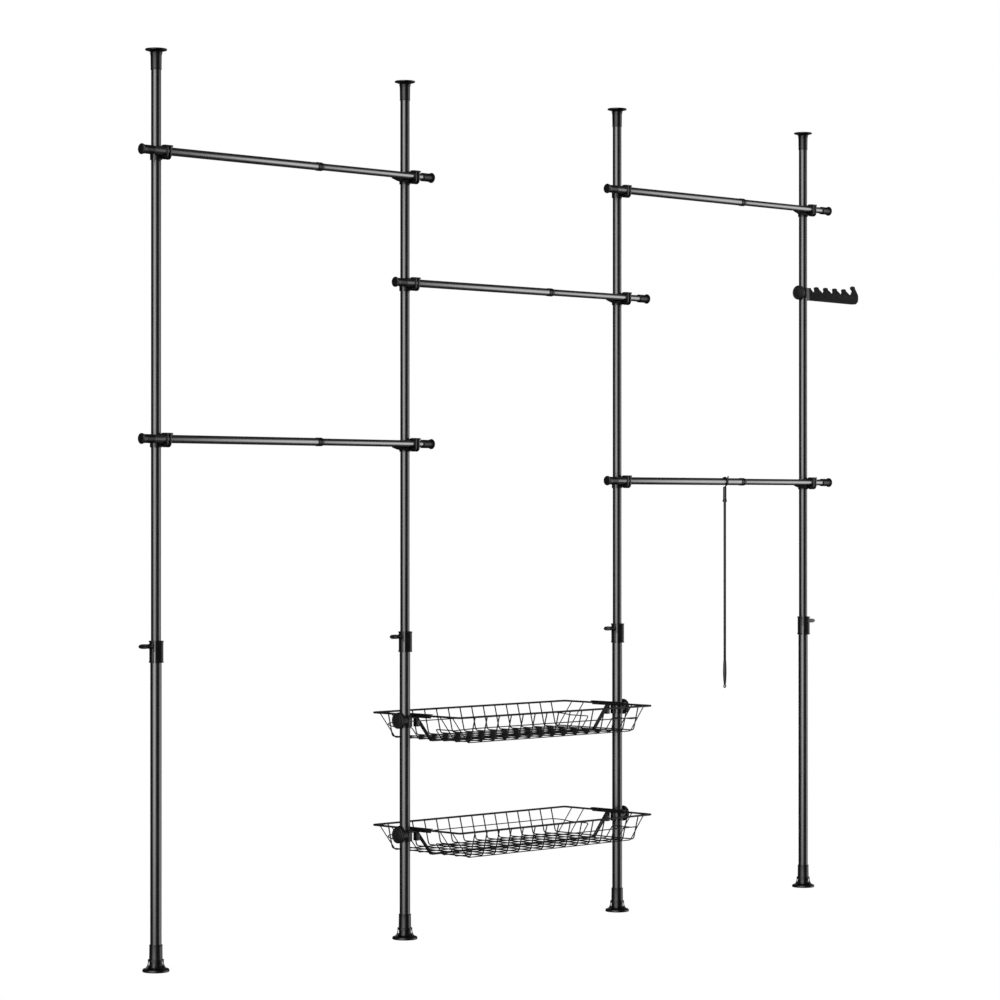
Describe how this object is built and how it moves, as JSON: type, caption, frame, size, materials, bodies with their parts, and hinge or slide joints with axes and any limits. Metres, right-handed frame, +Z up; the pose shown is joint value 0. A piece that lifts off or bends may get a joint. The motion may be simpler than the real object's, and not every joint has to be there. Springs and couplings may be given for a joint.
{
  "type": "open frame wardrobe",
  "caption": "Open wardrobe of telescopic floor-to-ceiling poles with clamped clothes rails, wire baskets, a hook rack and a hanging pull rod.",
  "frame": {"origin": "on the floor, at the middle of the outer box's underside", "axes": "+X along the row of poles from left to right, -Y towards the front with the rails, +Z up"},
  "size_m": [3.399, 0.4098, 2.74],
  "materials": {
    "pole_tube": "satin black powder coat",
    "rail_tube": "satin black powder coat",
    "coated_wire": "semi-matt black dipped coat",
    "black_plastic": "moulded, fine matt grain"
  },
  "bodies": {
    "middle_lower": {"foot_2": "black_plastic", "foot_3": "black_plastic", "lower_tube_2": "pole_tube", "lower_tube_3": "pole_tube", "lock_collar_2": "black_plastic", "lock_collar_3": "black_plastic"},
    "middle_upper": {"upper_tube_2": "pole_tube", "upper_tube_3": "pole_tube", "ceiling_cap_2": "black_plastic", "ceiling_cap_3": "black_plastic"},
    "left_upper": {"upper_tube_1": "pole_tube", "ceiling_cap_1": "black_plastic"},
    "left_lower": {"foot_1": "black_plastic", "lower_tube_1": "pole_tube", "lock_collar_1": "black_plastic"},
    "right_upper": {"upper_tube_4": "pole_tube", "ceiling_cap_4": "black_plastic"},
    "right_lower": {"foot_4": "black_plastic", "lower_tube_4": "pole_tube", "lock_collar_4": "black_plastic"},
    "rail_3": {"rail_3_outer_tube": "rail_tube", "rail_3_inner_tube": "rail_tube", "rail_3_left_clamp": "black_plastic", "rail_3_right_clamp": "black_plastic"},
    "hook_rack": {"hook_rack_clamp": "black_plastic", "hook_rack_bar": "black_plastic"},
    "hook_rack_knob": {"hook_rack_knob": "black_plastic"},
    "pull_rod": {"pull_rod_hook": "black_plastic", "pull_rod_tube": "rail_tube", "pull_rod_grip": "black_plastic"},
    "rail_1_outer": {"rail_1_outer_tube": "rail_tube", "rail_1_left_clamp": "black_plastic"},
    "rail_1_inner": {"rail_1_inner_tube": "rail_tube", "rail_1_right_clamp": "black_plastic"},
    "rail_2_outer": {"rail_2_outer_tube": "rail_tube", "rail_2_left_clamp": "black_plastic"},
    "rail_2_inner": {"rail_2_inner_tube": "rail_tube", "rail_2_right_clamp": "black_plastic"},
    "rail_4_outer": {"rail_4_outer_tube": "rail_tube", "rail_4_left_clamp": "black_plastic"},
    "rail_4_inner": {"rail_4_inner_tube": "rail_tube", "rail_4_right_clamp": "black_plastic"},
    "rail_5_outer": {"rail_5_outer_tube": "rail_tube", "rail_5_left_clamp": "black_plastic"},
    "rail_5_inner": {"rail_5_inner_tube": "rail_tube", "rail_5_right_clamp": "black_plastic"},
    "upper_basket": {"upper_basket": "coated_wire", "upper_basket_left_bracket": "black_plastic", "upper_basket_right_bracket": "black_plastic"},
    "upper_basket_left_knob": {"upper_basket_left_knob": "black_plastic"},
    "upper_basket_right_knob": {"upper_basket_right_knob": "black_plastic"},
    "lower_basket": {"lower_basket": "coated_wire", "lower_basket_left_bracket": "black_plastic", "lower_basket_right_bracket": "black_plastic"},
    "lower_basket_left_knob": {"lower_basket_left_knob": "black_plastic"},
    "lower_basket_right_knob": {"lower_basket_right_knob": "black_plastic"},
    "lock_knob_1": {"lock_knob_1": "black_plastic"},
    "lock_knob_2": {"lock_knob_2": "black_plastic"},
    "lock_knob_3": {"lock_knob_3": "black_plastic"},
    "lock_knob_4": {"lock_knob_4": "black_plastic"}
  },
  "joints": [
    {"name": "rack_height", "type": "slide", "parent": "middle_lower", "child": "middle_upper", "axis": [0, 0, 1], "range_m": [-0.4, 0.2]},
    {"name": "left_bay_width", "type": "slide", "parent": "middle_upper", "child": "left_upper", "axis": [1, 0, 0], "range_m": [-0.15, 0.3]},
    {"name": "right_bay_width", "type": "slide", "parent": "middle_upper", "child": "right_upper", "axis": [1, 0, 0], "range_m": [-0.3, 0.15]},
    {"name": "left_pole_height", "type": "slide", "parent": "left_upper", "child": "left_lower", "axis": [0, 0, 1], "range_m": [-0.2, 0.4]},
    {"name": "right_pole_height", "type": "slide", "parent": "right_upper", "child": "right_lower", "axis": [0, 0, 1], "range_m": [-0.2, 0.4]},
    {"name": "rail_1_height", "type": "slide", "parent": "left_upper", "child": "rail_1_outer", "axis": [0, 0, -1], "range_m": [-0.2, 0.28]},
    {"name": "rail_1_far_end_height", "type": "slide", "parent": "middle_upper", "child": "rail_1_inner", "axis": [0, 0, -1], "range_m": [-0.2, 0.28]},
    {"name": "rail_2_height", "type": "slide", "parent": "left_upper", "child": "rail_2_outer", "axis": [0, 0, -1], "range_m": [-0.45, 0.55]},
    {"name": "rail_2_far_end_height", "type": "slide", "parent": "middle_upper", "child": "rail_2_inner", "axis": [0, 0, -1], "range_m": [-0.45, 0.55]},
    {"name": "rail_4_height", "type": "slide", "parent": "middle_upper", "child": "rail_4_outer", "axis": [0, 0, -1], "range_m": [-0.18, 0.24]},
    {"name": "rail_4_far_end_height", "type": "slide", "parent": "right_upper", "child": "rail_4_inner", "axis": [0, 0, -1], "range_m": [-0.18, 0.24]},
    {"name": "rail_5_height", "type": "slide", "parent": "middle_upper", "child": "rail_5_outer", "axis": [0, 0, -1], "range_m": [-0.5, 0.44]},
    {"name": "rail_5_far_end_height", "type": "slide", "parent": "right_upper", "child": "rail_5_inner", "axis": [0, 0, -1], "range_m": [-0.5, 0.44]},
    {"name": "rail_3_height", "type": "slide", "parent": "middle_upper", "child": "rail_3", "axis": [0, 0, -1], "range_m": [-0.28, 0.45]},
    {"name": "upper_basket_height", "type": "slide", "parent": "middle_lower", "child": "upper_basket", "axis": [0, 0, 1], "range_m": [-0.25, 0.17]},
    {"name": "lower_basket_height", "type": "slide", "parent": "middle_lower", "child": "lower_basket", "axis": [0, 0, 1], "range_m": [-0.22, 0.25]},
    {"name": "lock_knob_1_turn", "type": "hinge", "parent": "left_lower", "child": "lock_knob_1", "pos_m": [-1.6195, 0, 0.966], "axis": [1, 0, 0], "range_deg": [0, 360]},
    {"name": "lock_knob_2_turn", "type": "hinge", "parent": "middle_lower", "child": "lock_knob_2", "pos_m": [-0.6045, 0, 0.966], "axis": [1, 0, 0], "range_deg": [0, 360]},
    {"name": "lock_knob_3_turn", "type": "hinge", "parent": "middle_lower", "child": "lock_knob_3", "pos_m": [0.3905, 0, 0.966], "axis": [1, 0, 0], "range_deg": [0, 360]},
    {"name": "lock_knob_4_turn", "type": "hinge", "parent": "right_lower", "child": "lock_knob_4", "pos_m": [1.3825, 0, 0.966], "axis": [1, 0, 0], "range_deg": [0, 360]},
    {"name": "upper_basket_left_knob_turn", "type": "hinge", "parent": "upper_basket", "child": "upper_basket_left_knob", "pos_m": [-0.6045, 0, 0.698], "axis": [1, 0, 0], "range_deg": [0, 360]},
    {"name": "upper_basket_right_knob_turn", "type": "hinge", "parent": "upper_basket", "child": "upper_basket_right_knob", "pos_m": [0.3905, 0, 0.698], "axis": [1, 0, 0], "range_deg": [0, 360]},
    {"name": "lower_basket_left_knob_turn", "type": "hinge", "parent": "lower_basket", "child": "lower_basket_left_knob", "pos_m": [-0.6045, 0, 0.333], "axis": [1, 0, 0], "range_deg": [0, 360]},
    {"name": "lower_basket_right_knob_turn", "type": "hinge", "parent": "lower_basket", "child": "lower_basket_right_knob", "pos_m": [0.3905, 0, 0.333], "axis": [1, 0, 0], "range_deg": [0, 360]},
    {"name": "hook_rack_swivel", "type": "hinge", "parent": "right_upper", "child": "hook_rack", "pos_m": [1.3825, 0, 2.158], "axis": [0, 0, 1], "range_deg": [-150, 150]},
    {"name": "hook_rack_knob_turn", "type": "hinge", "parent": "hook_rack", "child": "hook_rack_knob", "pos_m": [1.3825, 0, 2.158], "axis": [1, 0, 0], "range_deg": [0, 360]},
    {"name": "pull_rod_swing", "type": "hinge", "parent": "rail_5_outer", "child": "pull_rod", "pos_m": [0.9175, -0.028, 1.469], "axis": [1, 0, 0], "range_deg": [-60, 60]}
  ],
  "couplings": [
    {"joint": "left_pole_height", "follows": "rack_height", "ratio": -1},
    {"joint": "right_pole_height", "follows": "rack_height", "ratio": -1},
    {"joint": "rail_1_far_end_height", "follows": "rail_1_height", "ratio": 1},
    {"joint": "rail_2_far_end_height", "follows": "rail_2_height", "ratio": 1},
    {"joint": "rail_4_far_end_height", "follows": "rail_4_height", "ratio": 1},
    {"joint": "rail_5_far_end_height", "follows": "rail_5_height", "ratio": 1}
  ]
}
